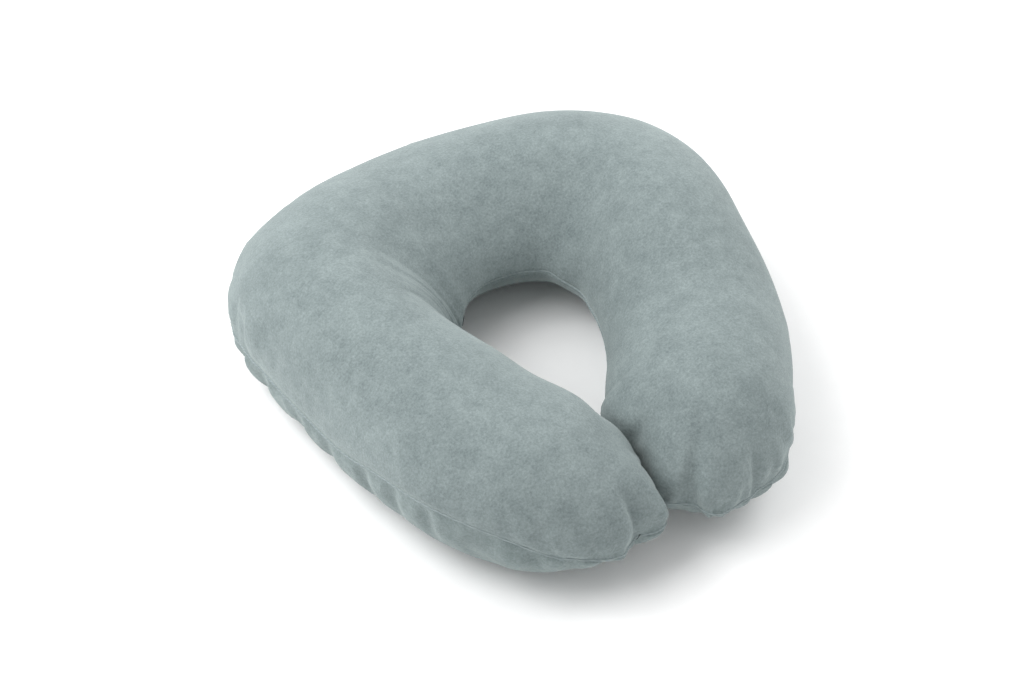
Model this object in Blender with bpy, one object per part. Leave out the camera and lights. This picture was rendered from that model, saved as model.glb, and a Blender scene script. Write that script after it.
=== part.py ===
"""U shaped neck pillow: moulded foam in a knitted liner, inside a zipped velour cover.

Metres, +Z up, the floor at z = 0, the opening towards -Y and the mirror plane at x = 0.
Each soft piece is one piece in life. It is split here at both back corners, so that
the two arms can swing outward on hinges that stand at the outer seam.
"""
import math

import bmesh
import bpy
from mathutils import Vector

# Spine of half the U in plan: three tangent arcs from the middle of the back to a tip.
BACK_RADIUS = 0.1375
BACK_SWEEP = math.radians(26.4)
CORNER_RADIUS = 0.0670
CORNER_SWEEP = math.radians(76.6)
ARM_LENGTH = 0.1985
# Space left between the two tips. The bend of the arms follows from it.
TIP_GAP = 0.0038

# Distance from the spine to the outer seam, at four places along the spine.
BACK_HALF_WIDTH = 0.0585
SHOULDER_HALF_WIDTH = 0.0477
ARM_HALF_WIDTH = 0.0518
TIP_HALF_WIDTH = 0.0467
# The same to the inner seam. At the tip both are alike.
BACK_INNER_WIDTH = 0.0579
SHOULDER_INNER_WIDTH = 0.0462
ARM_INNER_WIDTH = 0.0499
# The outer edge stands out further at the back corner, this far past the end of the back arc.
CORNER_BULGE = 0.0076
CORNER_BULGE_AT = 0.0283
CORNER_BULGE_REACH = 0.0410
# The inner edge stands out at the neck hole's back corner, this far past the end of the back
# arc, and again where an arm's rounded end starts, so that the arms close the hole.
NECK_FILL = 0.0089
NECK_FILL_AT = 0.0554
NECK_FILL_REACH = 0.0423
ARM_FILL = 0.0077
ARM_FILL_REACH = 0.0285
# The inner half of a section points along the spine's mean direction over this distance to
# either side, which keeps the hole round. It joins the outer half's line before the tip.
INNER_AVERAGE = 0.1500
INNER_FADE = 0.0762
AVERAGE_STEPS = 16
# Length of an arm's rounded end and how square its plan is.
TIP_LENGTH = 0.0752
TIP_POWER = 1.99

# Height of the upper panel above the seam, at the same four places.
BACK_RISE = 0.0522
SHOULDER_RISE = 0.0667
ARM_RISE = 0.0467
TIP_RISE = 0.0451
# Height of the seam above the floor, and how much more of it there is at the tips.
SEAM_HEIGHT = 0.0376
TIP_LIFT = 0.0089
# Roundness of the upper and lower half of a section: 1 is an ellipse, less is fuller and more
# is leaner. Towards the neck hole the lower panel runs in under the seam.
UPPER_POWER = 0.976
LOWER_POWER = 0.914
LOWER_INNER_POWER = 1.150
# The lower panel would hang this much deeper if the floor did not flatten it.
FLOOR_PRESS = 1.06

# Layers, from the outside inwards.
COVER_THICKNESS = 0.0020
TAPE_THICKNESS = 0.0004
LINER_THICKNESS = 0.0006
# Space between neighbours that touch in life.
CLEARANCE = 0.00025
SEAM_GAP = 0.0003

# Heading of the spine at the split between the back and an arm.
SPLIT_HEADING = math.radians(52.0)

# Zip in the outer seam of the back, measured along the seam from the middle.
ZIP_HALF_LENGTH = 0.0780
ZIP_END_TAPER = 0.0060
TAPE_OVERRUN = 0.0040
TAPE_WIDTH_ANGLE = math.radians(12.0)
TOOTH_PITCH = 0.0028
TOOTH_WIDTH = 0.00125
TOOTH_REACH = 0.0009
TOOTH_HEIGHT = 0.00165
BEAD_INNER = 0.0016
BEAD_OUTER = 0.0030
STOP_LENGTH = 0.0022

# Slider: two plates joined by a wedge at the nose, with a bail for the pull tab.
SLIDER_HALF_LENGTH = 0.0060
SLIDER_HALF_WIDTH = 0.0044
PLATE_THICKNESS = 0.0010
FLANGE_WIDTH = 0.0010
WEDGE_HALF_WIDTH = 0.0012
BAIL_HALF_WIDTH = 0.0008
BAIL_HALF_LENGTH = 0.0030
BAIL_BAR = 0.0010
BAIL_WINDOW = 0.0016

# Pull tab: a bar that turns inside the bail, two side arms and a flat grip.
PULL_BAR = 0.0010
PULL_HOLE_HALF_WIDTH = 0.0013
PULL_ARM_WIDTH = 0.0013
PULL_HOLE_LENGTH = 0.0042
PULL_LENGTH = 0.0240
PULL_HALF_WIDTH = 0.0032
EDGE_ROUND = 0.00015

# Spacing of the mesh. Angles run from the outer seam over a panel to the inner seam.
UPPER_ANGLES = [math.radians(a) for a in (0, 6, 12, 26, 45, 67, 90, 113, 135, 157, 180)]
LOWER_ANGLES = [math.radians(a) for a in (0, 6, 12, 26, 47, 72, 108, 133, 156, 180)]
TIP_ANGLES = [math.radians(a) for a in (19, 38, 56, 72, 83, 90)]
ZIP_STEPS = 6
CORNER_STEPS = 3
ARM_STEPS = 12
BEND_STEPS = 40

# Derived sizes.
TAPE_DEPTH = COVER_THICKNESS + CLEARANCE
LINER_DEPTH = TAPE_DEPTH + TAPE_THICKNESS + CLEARANCE
FOAM_DEPTH = LINER_DEPTH + LINER_THICKNESS + CLEARANCE
SLIDER_ROOM = CLEARANCE + CLEARANCE
GROOVE = PLATE_THICKNESS + SLIDER_ROOM
BACK_LENGTH = BACK_RADIUS * BACK_SWEEP
CORNER_LENGTH = CORNER_RADIUS * CORNER_SWEEP
SHOULDER_AT = BACK_LENGTH + CORNER_LENGTH
SPINE_LENGTH = SHOULDER_AT + ARM_LENGTH
TIP_AT = SPINE_LENGTH - TIP_LENGTH
SPLIT_AT = BACK_LENGTH + CORNER_RADIUS * (SPLIT_HEADING - BACK_SWEEP)
ZIP_RADIUS = BACK_RADIUS + BACK_HALF_WIDTH
# Lengths along the seam become lengths along the spine on the back arc.
SEAM_TO_SPINE = BACK_RADIUS / ZIP_RADIUS
ZIP_OPENING = SLIDER_HALF_WIDTH + CLEARANCE + CLEARANCE
# Depths of the zip's parts, measured inwards from the seam.
TOOTH_FLOOR = TAPE_DEPTH - CLEARANCE
TOOTH_TOP = TOOTH_FLOOR - TOOTH_HEIGHT
CHAIN_START = -ZIP_HALF_LENGTH + STOP_LENGTH + STOP_LENGTH
NOSE_ROOM = SLIDER_HALF_LENGTH - BAIL_HALF_LENGTH + CLEARANCE
CHAIN_ROOM = ZIP_HALF_LENGTH - STOP_LENGTH - STOP_LENGTH - NOSE_ROOM - CHAIN_START
TOOTH_COUNT = int(CHAIN_ROOM / TOOTH_PITCH)
CHAIN_END = CHAIN_START + TOOTH_COUNT * TOOTH_PITCH
SLIDER_AT = CHAIN_END - BAIL_HALF_LENGTH + CLEARANCE + CLEARANCE


def ease(value):
    """Smooth step from 0 to 1."""
    value = min(max(value, 0.0), 1.0)
    return value * value * (3.0 - 2.0 * value)


def spine(distance, bend):
    """Plan point and heading of the spine at a distance from the middle of the back."""
    turn = min(distance / BACK_RADIUS, BACK_SWEEP)
    x = BACK_RADIUS * math.sin(turn)
    y = BACK_RADIUS * (math.cos(turn) - 1.0)
    if distance > BACK_LENGTH:
        start = turn
        turn = start + min((distance - BACK_LENGTH) / CORNER_RADIUS, CORNER_SWEEP)
        x += CORNER_RADIUS * (math.sin(turn) - math.sin(start))
        y += CORNER_RADIUS * (math.cos(turn) - math.cos(start))
    if distance > SHOULDER_AT:
        along = distance - SHOULDER_AT
        half_turn = 0.5 * bend * along
        chord = along if half_turn < 1e-9 else along * math.sin(half_turn) / half_turn
        x += chord * math.cos(turn + half_turn)
        y -= chord * math.sin(turn + half_turn)
        turn += bend * along
    return x, y, turn


def mean_heading(distance, bend):
    """Heading of the spine averaged over a distance to either side."""
    total = 0.0
    weights = 0.0
    for step in range(-AVERAGE_STEPS, AVERAGE_STEPS + 1):
        share = step / AVERAGE_STEPS
        weight = 1.0 + math.cos(math.pi * share)
        place = distance + share * INNER_AVERAGE
        _, _, turn = spine(abs(place), bend)
        total += weight * math.copysign(turn, place)
        weights += weight
    return total / weights


def inner_heading(distance, bend):
    """Heading that the inner half of a section stands square to. The split stays flat."""
    _, _, heading = spine(distance, bend)
    _, _, split_heading = spine(SPLIT_AT, bend)
    mean = mean_heading(distance, bend)
    mean += (split_heading - mean_heading(SPLIT_AT, bend)) * ease(distance / SPLIT_AT)
    fade = ease((distance - TIP_AT + INNER_FADE) / INNER_FADE)
    return mean * (1.0 - fade) + heading * fade


def along_spine(distance, back, shoulder, arm, tip):
    """Blend four values given at the back, the shoulder, the middle of the arm and the tip."""
    last = SPINE_LENGTH - 0.5 * TIP_LENGTH
    middle = 0.5 * (SHOULDER_AT + last)
    if distance < SHOULDER_AT:
        return back + (shoulder - back) * ease((distance - BACK_LENGTH) / CORNER_LENGTH)
    if distance < middle:
        return shoulder + (arm - shoulder) * ease((distance - SHOULDER_AT) / (middle - SHOULDER_AT))
    return arm + (tip - arm) * ease((distance - middle) / (last - middle))


def swell(distance, middle, reach):
    """Smooth bump of height 1 along the spine."""
    offset = (distance - middle) / reach
    return math.exp(-offset * offset)


def section_sizes(distance):
    """Outer and inner half width, rise of the upper panel and height of the seam."""
    half = along_spine(distance, BACK_HALF_WIDTH, SHOULDER_HALF_WIDTH, ARM_HALF_WIDTH, TIP_HALF_WIDTH)
    bulge = CORNER_BULGE * ease((distance - BACK_LENGTH) / CORNER_BULGE_REACH)
    outer = half + bulge * swell(distance, BACK_LENGTH + CORNER_BULGE_AT, CORNER_BULGE_REACH)
    inner = along_spine(
        distance, BACK_INNER_WIDTH, SHOULDER_INNER_WIDTH, ARM_INNER_WIDTH, TIP_HALF_WIDTH)
    inner += NECK_FILL * swell(distance, BACK_LENGTH + NECK_FILL_AT, NECK_FILL_REACH)
    inner += ARM_FILL * swell(distance, TIP_AT, ARM_FILL_REACH)
    rise = along_spine(distance, BACK_RISE, SHOULDER_RISE, ARM_RISE, TIP_RISE)
    seam = SEAM_HEIGHT + TIP_LIFT * ease((distance - SHOULDER_AT) / ARM_LENGTH)
    return outer, inner, rise, seam


class Ring:
    """One section of the pillow at a given depth below the outer surface."""

    def __init__(self, station, depth, bend, slip=0.0):
        distance, tip_angle = station
        shrink = 1.0
        if tip_angle > 0.0:
            sine = math.sin(tip_angle)
            distance = TIP_AT + (TIP_LENGTH - depth) * sine
            shrink = max(1.0 - sine ** TIP_POWER, 0.0) ** (1.0 / TIP_POWER)
        self.side = -1.0 if distance < 0.0 else 1.0
        self.distance = abs(distance)
        self.pole = tip_angle >= TIP_ANGLES[-1]
        self.x, self.y, self.heading = spine(self.distance, bend)
        self.inner_heading = inner_heading(self.distance, bend)
        self.x += slip * math.cos(self.heading)
        self.y -= slip * math.sin(self.heading)
        outer, inner, rise, self.seam = section_sizes(self.distance)
        self.depth = depth
        self.outer = (outer - depth) * shrink
        self.inner = (inner - depth) * shrink
        self.rise = (rise - depth) * shrink
        self.drop = (self.seam * FLOOR_PRESS - depth) * shrink

    def place(self, across, height):
        """Point in space for a distance across the spine and a height."""
        heading = self.heading if across > 0.0 else self.inner_heading
        x = self.x + across * math.sin(heading)
        y = self.y + across * math.cos(heading)
        return Vector((self.side * x, y, height))

    def upper(self, angle, gap, groove=0.0):
        """Point on the upper half, at an angle from the outer to the inner seam."""
        cosine = math.cos(angle)
        across = math.copysign(abs(cosine) ** UPPER_POWER, cosine)
        across *= self.outer - groove if cosine > 0.0 else self.inner
        lift = max(math.sin(angle), 0.0) ** UPPER_POWER
        return self.place(across, self.seam + 0.5 * gap + self.rise * lift)

    def lower(self, angle, gap, groove=0.0):
        """Point on the lower half, flattened by the floor."""
        cosine = math.cos(angle)
        power = LOWER_POWER if cosine > 0.0 else LOWER_INNER_POWER
        across = math.copysign(abs(cosine) ** power, cosine)
        across *= self.outer - groove if cosine > 0.0 else self.inner
        fall = max(math.sin(angle), 0.0) ** power
        return self.place(across, max(self.seam - 0.5 * gap - self.drop * fall, self.depth))


def arm_stations():
    """Stations of the right arm, from the split to the pole at its tip."""
    step = (TIP_AT - SPLIT_AT) / ARM_STEPS
    body = [(SPLIT_AT + step * index, 0.0) for index in range(ARM_STEPS + 1)]
    return body + [(TIP_AT, angle) for angle in TIP_ANGLES]


def back_stations():
    """Stations of the back, from the left split to the right one."""
    zip_end = ZIP_HALF_LENGTH * SEAM_TO_SPINE
    taper_end = (ZIP_HALF_LENGTH + ZIP_END_TAPER) * SEAM_TO_SPINE
    half = [zip_end * index / ZIP_STEPS for index in range(1, ZIP_STEPS + 1)]
    step = (SPLIT_AT - taper_end) / CORNER_STEPS
    half += [taper_end + step * index for index in range(CORNER_STEPS + 1)]
    whole = [-distance for distance in reversed(half)] + [0.0] + half
    return [(distance, 0.0) for distance in whole]


def tightest(bend):
    """Smallest x of an arm's seam, which is where the two arms come closest."""
    xs = []
    for station in arm_stations():
        ring = Ring(station, 0.0, bend)
        xs.append(ring.place(-ring.inner, ring.seam).x)
        xs.append(ring.place(ring.outer, ring.seam).x)
    return min(xs)


def arm_bend():
    """Curvature of the arms, 1/m, that leaves half the tip gap on either side of x = 0."""
    low, high = 0.0, 1.5 / ARM_LENGTH
    for _ in range(BEND_STEPS):
        middle = 0.5 * (low + high)
        if tightest(middle) > 0.5 * TIP_GAP:
            low = middle
        else:
            high = middle
    return low


def turn_for(height, upper):
    """Angle at which a panel of the back lies at a height above or below the seam."""
    size, power = (BACK_RISE, UPPER_POWER) if upper else (SEAM_HEIGHT * FLOOR_PRESS, LOWER_POWER)
    return math.asin((height / size) ** (1.0 / power))


def zip_edge(distance, upper):
    """Angle at which a panel's edge stands back from the zip."""
    along = abs(distance) / SEAM_TO_SPINE
    return turn_for(ZIP_OPENING * (1.0 - ease((along - ZIP_HALF_LENGTH) / ZIP_END_TAPER)), upper)


def zip_groove(distance, angle):
    """Extra depth of the liner and the foam behind the slider's inner plate."""
    inside = abs(distance) / SEAM_TO_SPINE <= ZIP_HALF_LENGTH
    return GROOVE if inside and angle < TAPE_WIDTH_ANGLE else 0.0


def bridge(mesh, row_a, row_b):
    """Triangles between two rows of points, split the same way on every layer."""
    for index in range(len(row_a) - 1):
        near, far = row_a[index:index + 2], row_b[index:index + 2]
        for corners in ((near[0], near[1], far[1]), (near[0], far[1], far[0])):
            if len(set(corners)) == 3:
                mesh.faces.new(corners)


def add_rows(mesh, rows):
    """Add rows of points to a mesh. A row on a pole becomes one repeated point."""
    added = []
    for points, pole in rows:
        if pole:
            added.append([mesh.verts.new(points[0])] * len(points))
        else:
            added.append([mesh.verts.new(point) for point in points])
    return added


def finish(name, mesh, origin, material):
    """Turn a mesh into a named object whose origin lies on its joint's axis."""
    bmesh.ops.recalc_face_normals(mesh, faces=mesh.faces)
    bmesh.ops.translate(mesh, verts=mesh.verts, vec=-origin)
    data = bpy.data.meshes.new(name)
    mesh.to_mesh(data)
    mesh.free()
    data.materials.append(material)
    piece = bpy.data.objects.new(name, data)
    piece.location = origin
    bpy.context.scene.collection.objects.link(piece)
    return piece


def sheet(name, outside, inside, origin, material):
    """Closed solid between two open grids of points that share their spacing."""
    mesh = bmesh.new()
    outer = add_rows(mesh, outside)
    inner = add_rows(mesh, inside)
    for index in range(len(outer) - 1):
        bridge(mesh, outer[index], outer[index + 1])
        bridge(mesh, inner[index], inner[index + 1])
    for edge in (0, -1):
        bridge(mesh, [row[edge] for row in outer], [row[edge] for row in inner])
    bridge(mesh, outer[0], inner[0])
    if not outside[-1][1]:
        bridge(mesh, outer[-1], inner[-1])
    return finish(name, mesh, origin, material)


def tube(name, outside, inside, origin, material):
    """Closed solid between two grids that close on themselves round the section."""
    mesh = bmesh.new()
    outer = [row + row[:1] for row in add_rows(mesh, outside)]
    inner = [row + row[:1] for row in add_rows(mesh, inside)]
    for index in range(len(outer) - 1):
        bridge(mesh, outer[index], outer[index + 1])
        bridge(mesh, inner[index], inner[index + 1])
    bridge(mesh, outer[0], inner[0])
    if not outside[-1][1]:
        bridge(mesh, outer[-1], inner[-1])
    return finish(name, mesh, origin, material)


def plug(name, outside, origin, material):
    """Solid with flat ends inside a grid that closes on itself."""
    mesh = bmesh.new()
    outer = [row + row[:1] for row in add_rows(mesh, outside)]
    for index in range(len(outer) - 1):
        bridge(mesh, outer[index], outer[index + 1])
    mesh.faces.new(outer[0][:-1])
    if not outside[-1][1]:
        mesh.faces.new(outer[-1][:-1])
    return finish(name, mesh, origin, material)


def cells(name, edges, filled, place, origin, material):
    """Solid made of the filled boxes of a grid, without faces between two filled boxes."""
    mesh = bmesh.new()
    corners = {}

    def corner(index):
        if index not in corners:
            point = place(*(axis[i] for axis, i in zip(edges, index)))
            corners[index] = mesh.verts.new(point)
        return corners[index]

    for box in filled:
        for axis in range(3):
            for end in (0, 1):
                beyond = list(box)
                beyond[axis] += 2 * end - 1
                if tuple(beyond) in filled:
                    continue
                face = []
                for first, second in ((0, 0), (1, 0), (1, 1), (0, 1)):
                    index = list(box)
                    index[axis] += end
                    index[(axis + 1) % 3] += first
                    index[(axis + 2) % 3] += second
                    face.append(corner(tuple(index)))
                mesh.faces.new(face)
    return finish(name, mesh, origin, material)


def boxes(edges, *blocks):
    """Boxes of a grid covered by blocks, each a low and high edge on the three axes."""
    filled = set()
    for block in blocks:
        spans = [range(axis.index(low), axis.index(high)) for axis, (low, high) in zip(edges, block)]
        filled.update((i, j, k) for i in spans[0] for j in spans[1] for k in spans[2])
    return filled


def round_edges(piece):
    """Tidy a metal piece's flat faces and break its sharp edges."""
    mesh = bmesh.new()
    mesh.from_mesh(piece.data)
    bmesh.ops.dissolve_limit(mesh, angle_limit=math.radians(1.0), verts=mesh.verts, edges=mesh.edges)
    mesh.to_mesh(piece.data)
    mesh.free()
    bevel = piece.modifiers.new("broken edges", "BEVEL")
    bevel.width = EDGE_ROUND
    bevel.segments = 1
    bevel.limit_method = "ANGLE"


def surface(name, colour, roughness, metallic=0.0):
    """Principled material with a plain colour."""
    material = bpy.data.materials.new(name)
    material.use_nodes = True
    shader = material.node_tree.nodes["Principled BSDF"]
    shader.inputs["Base Color"].default_value = (*colour, 1.0)
    shader.inputs["Roughness"].default_value = roughness
    shader.inputs["Metallic"].default_value = metallic
    material.diffuse_color = (*colour, 1.0)
    return material


class Pillow:
    """Builds every piece in the shared frame."""

    def __init__(self):
        self.bend = arm_bend()
        self.shift = Vector((0.0, 0.0, 0.0))
        reach = [ring.place(side, ring.seam).y
                 for ring in (Ring(station, 0.0, self.bend) for station in arm_stations())
                 for side in (ring.outer, -ring.inner)]
        back = Ring((0.0, 0.0), 0.0, self.bend)
        edges = back.upper(zip_edge(0.0, True), 0.0).y, back.lower(zip_edge(0.0, False), 0.0).y
        self.shift.y = -0.5 * (max(edges) + min(reach))
        self.zip_centre = self.shift + Vector((0.0, -BACK_RADIUS, SEAM_HEIGHT))
        split = Ring((SPLIT_AT, 0.0), 0.0, self.bend, 0.5 * CLEARANCE)
        right = split.place(split.outer, split.seam) + self.shift
        self.hinges = {"back": Vector((0.0, 0.0, 0.0)), "right_arm": right,
                       "left_arm": Vector((-right.x, right.y, right.z))}

    def rows(self, where, depth, halves, gap=0.0):
        """Rows of points for one layer of the back or of an arm, on one half or on both."""
        stations = back_stations() if where == "back" else arm_stations()
        mirror = -1.0 if where == "left_arm" else 1.0
        found = []
        for index, station in enumerate(stations):
            slip = CLEARANCE if index == 0 and where != "back" else 0.0
            ring = Ring(station, depth, self.bend, slip)
            row = []
            for half in halves:
                upper = half == "upper"
                turns = list(UPPER_ANGLES if upper else LOWER_ANGLES)
                point_on = ring.upper if upper else ring.lower
                whole = len(halves) > 1
                if where == "back" and not whole:
                    turns[0] = zip_edge(station[0], upper)
                if whole and not upper:
                    turns = turns[-2:0:-1]
                for angle in turns:
                    groove = zip_groove(station[0], angle) if whole and where == "back" else 0.0
                    point = point_on(angle, gap, groove) + self.shift
                    row.append(Vector((mirror * point.x, point.y, point.z)))
            found.append((row, ring.pole))
        return found

    def soft_pieces(self, velour, knit, foam):
        """Cover panels, liner and foam of the back and of both arms."""
        for where, origin in self.hinges.items():
            for half in ("upper", "lower"):
                layers = [self.rows(where, depth, (half,), SEAM_GAP) for depth in (0.0, COVER_THICKNESS)]
                sheet(f"cover_{half}_{where}", *layers, origin, velour[half])
            layers = [self.rows(where, depth, ("upper", "lower"))
                      for depth in (LINER_DEPTH, LINER_DEPTH + LINER_THICKNESS, FOAM_DEPTH)]
            tube(f"liner_{where}", layers[0], layers[1], origin, knit)
            plug(f"foam_{where}", layers[2], origin, foam)

    def on_seam(self, along, height, depth):
        """Point by distance along the zip, height from its middle line and depth behind the seam."""
        angle = along / ZIP_RADIUS
        radius = ZIP_RADIUS - depth
        return self.zip_centre + Vector((radius * math.sin(angle), radius * math.cos(angle), height))

    def at_slider(self, along, height, depth):
        """Point in the slider's own square frame, which touches the seam at its middle."""
        angle = SLIDER_AT / ZIP_RADIUS
        outward = Vector((math.sin(angle), math.cos(angle), 0.0))
        forward = Vector((math.cos(angle), -math.sin(angle), 0.0))
        flat = outward * (ZIP_RADIUS - depth) + forward * along
        return self.zip_centre + flat + Vector((0.0, 0.0, height))

    def tapes(self, weave):
        """Two woven tapes behind the panel edges."""
        stations = [station for station in back_stations()
                    if abs(station[0]) / SEAM_TO_SPINE <= ZIP_HALF_LENGTH + ZIP_END_TAPER + TAPE_OVERRUN]
        for half in ("upper", "lower"):
            first = turn_for(BEAD_INNER, half == "upper")
            turns = (first, 0.5 * (first + TAPE_WIDTH_ANGLE), TAPE_WIDTH_ANGLE)
            layers = []
            for depth in (TAPE_DEPTH, TAPE_DEPTH + TAPE_THICKNESS):
                rows = []
                for station in stations:
                    ring = Ring(station, depth, self.bend)
                    point = ring.upper if half == "upper" else ring.lower
                    rows.append(([point(angle, 0.0) + self.shift for angle in turns], False))
                layers.append(rows)
            sheet(f"zip_tape_{half}", *layers, self.hinges["back"], weave)

    def teeth(self, nylon):
        """Two rows of teeth, each on a bead, that mesh across the middle line."""
        for half, sign, lead in (("upper", 1.0, 0.0), ("lower", -1.0, 0.5 * TOOTH_PITCH)):
            along = [CHAIN_START]
            for index in range(TOOTH_COUNT):
                start = CHAIN_START + lead + TOOTH_PITCH * index + 0.5 * (0.5 * TOOTH_PITCH - TOOTH_WIDTH)
                along += [start, start + TOOTH_WIDTH]
            along.append(CHAIN_END)
            heights = [-TOOTH_REACH, BEAD_INNER, BEAD_OUTER]
            edges = (along, heights, [TOOTH_TOP, TOOTH_FLOOR])
            filled = {(i, 1, 0) for i in range(len(along) - 1)}
            filled |= {(i, 0, 0) for i in range(1, len(along) - 1, 2)}

            def place(t, height, depth, sign=sign):
                return self.on_seam(t, sign * height, depth)

            cells(f"zip_teeth_{half}", edges, filled, place, self.hinges["back"], nylon)

    def stops(self, metal):
        """Stops that keep the slider on the chain."""
        low = CHAIN_START - CLEARANCE - STOP_LENGTH
        whole = ([low, low + STOP_LENGTH], [-BEAD_OUTER, BEAD_OUTER], [TOOTH_TOP, TOOTH_FLOOR])
        cells("zip_bottom_stop", whole, {(0, 0, 0)}, self.on_seam, self.hinges["back"], metal)
        high = SLIDER_AT + SLIDER_HALF_LENGTH + CLEARANCE
        for half, heights in (("upper", [BEAD_INNER, BEAD_OUTER]), ("lower", [-BEAD_OUTER, -BEAD_INNER])):
            edges = ([high, high + STOP_LENGTH], heights, [TOOTH_TOP, TOOTH_FLOOR])
            cells(f"zip_top_stop_{half}", edges, {(0, 0, 0)}, self.on_seam, self.hinges["back"], metal)

    def slider(self, metal):
        """Slider with its bail. It straddles the tapes, its wedge just past the last tooth."""
        plate_in = TOOTH_TOP - CLEARANCE
        plate_out = plate_in - PLATE_THICKNESS
        bail_in = plate_out - BAIL_WINDOW
        bail_out = bail_in - BAIL_BAR
        back_plate = TAPE_DEPTH + TAPE_THICKNESS + SLIDER_ROOM
        depths = [bail_out, bail_in, plate_out, plate_in, TAPE_DEPTH - CLEARANCE,
                  back_plate, back_plate + PLATE_THICKNESS]
        flange = SLIDER_HALF_WIDTH - FLANGE_WIDTH
        heights = [-SLIDER_HALF_WIDTH, -flange, -WEDGE_HALF_WIDTH, -BAIL_HALF_WIDTH,
                   BAIL_HALF_WIDTH, WEDGE_HALF_WIDTH, flange, SLIDER_HALF_WIDTH]
        length, bail = SLIDER_HALF_LENGTH, BAIL_HALF_LENGTH
        along = [-length, -bail, BAIL_BAR - bail, bail - BAIL_BAR, bail, length]
        edges = (along, heights, depths)
        full, wide = (-length, length), (-SLIDER_HALF_WIDTH, SLIDER_HALF_WIDTH)
        narrow = (-BAIL_HALF_WIDTH, BAIL_HALF_WIDTH)
        filled = boxes(
            edges,
            (full, wide, (plate_out, plate_in)),
            (full, wide, (back_plate, depths[-1])),
            (full, (-SLIDER_HALF_WIDTH, -flange), (plate_in, depths[4])),
            (full, (flange, SLIDER_HALF_WIDTH), (plate_in, depths[4])),
            ((bail, length), (-WEDGE_HALF_WIDTH, WEDGE_HALF_WIDTH), (plate_in, back_plate)),
            ((-bail, along[2]), narrow, (bail_in, plate_out)),
            ((along[3], bail), narrow, (bail_in, plate_out)),
            ((-bail, bail), narrow, (bail_out, bail_in)),
        )
        round_edges(cells("zip_slider", edges, filled, self.at_slider, self.zip_centre, metal))
        return 0.5 * (plate_out + bail_in)

    def pull(self, metal, axis_depth):
        """Pull tab, lying back over the chain."""
        half = 0.5 * PULL_BAR
        arm = PULL_HOLE_HALF_WIDTH + PULL_ARM_WIDTH
        along = [-PULL_LENGTH, -PULL_HOLE_LENGTH, -half, half]
        heights = [-PULL_HALF_WIDTH, -arm, -PULL_HOLE_HALF_WIDTH, PULL_HOLE_HALF_WIDTH, arm, PULL_HALF_WIDTH]
        depths = [axis_depth - half, axis_depth + half]
        edges = (along, heights, depths)
        thick = (depths[0], depths[1])
        filled = boxes(
            edges,
            ((-PULL_LENGTH, -PULL_HOLE_LENGTH), (-PULL_HALF_WIDTH, PULL_HALF_WIDTH), thick),
            ((-PULL_HOLE_LENGTH, half), (-arm, -PULL_HOLE_HALF_WIDTH), thick),
            ((-PULL_HOLE_LENGTH, half), (PULL_HOLE_HALF_WIDTH, arm), thick),
            ((-half, half), (-arm, arm), thick),
        )
        pivot = self.at_slider(0.0, 0.0, axis_depth)
        round_edges(cells("zip_pull_tab", edges, filled, self.at_slider, pivot, metal))


def main():
    """Clear the scene and build the pillow."""
    for old in list(bpy.data.objects):
        bpy.data.objects.remove(old, do_unlink=True)
    velour = {"upper": surface("velour upper", (0.30, 0.36, 0.36), 0.95),
              "lower": surface("velour lower", (0.27, 0.33, 0.33), 0.95)}
    knit = surface("white knit", (0.85, 0.85, 0.82), 0.9)
    foam = surface("memory foam", (0.90, 0.85, 0.68), 0.9)
    weave = surface("zip tape weave", (0.24, 0.30, 0.30), 0.85)
    nylon = surface("zip nylon", (0.22, 0.27, 0.27), 0.4)
    metal = surface("painted zinc", (0.25, 0.30, 0.30), 0.35)
    pillow = Pillow()
    pillow.soft_pieces(velour, knit, foam)
    pillow.tapes(weave)
    pillow.teeth(nylon)
    pillow.stops(metal)
    pillow.pull(metal, pillow.slider(metal))


main()
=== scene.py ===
# %% [markdown]
# # A U shaped neck pillow
# The pillow is a foam core in a knitted liner, inside a velour cover that is sewn from an
# upper and a lower panel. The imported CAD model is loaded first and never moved: it gives
# every size, and this script only dresses it. The cover is built here again as fine cloth,
# because the CAD panels are plain shells that exist for weight and contact.

# %% Load the fixed frame
import math

import bmesh
import bpy
import numpy as np
from mathutils import Matrix, Vector, kdtree


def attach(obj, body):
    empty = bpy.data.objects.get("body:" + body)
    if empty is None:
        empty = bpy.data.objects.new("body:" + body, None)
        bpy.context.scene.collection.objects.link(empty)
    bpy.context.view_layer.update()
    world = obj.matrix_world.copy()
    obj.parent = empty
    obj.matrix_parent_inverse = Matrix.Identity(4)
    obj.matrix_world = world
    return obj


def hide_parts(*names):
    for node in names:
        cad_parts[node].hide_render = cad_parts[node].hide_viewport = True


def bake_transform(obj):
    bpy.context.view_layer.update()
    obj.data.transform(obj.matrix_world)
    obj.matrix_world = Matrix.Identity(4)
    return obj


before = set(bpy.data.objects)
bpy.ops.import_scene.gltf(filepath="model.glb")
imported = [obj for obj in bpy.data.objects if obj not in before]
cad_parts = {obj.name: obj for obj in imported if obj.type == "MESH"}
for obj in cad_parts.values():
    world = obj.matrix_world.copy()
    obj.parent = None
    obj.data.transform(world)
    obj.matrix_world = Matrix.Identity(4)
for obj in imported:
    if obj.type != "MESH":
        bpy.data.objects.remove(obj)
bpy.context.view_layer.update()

# %% [markdown]
# ## The plan of the U
# A pillow like this is cut as two flat panels, so its form follows a line in plan, the spine,
# that runs through the middle of the stuffing. Half the spine is three arcs that meet
# smoothly: the back, the corner and the arm. The other half is its mirror image. The values
# repeat those of the CAD source, so the cloth lies on the same surface.

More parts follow.
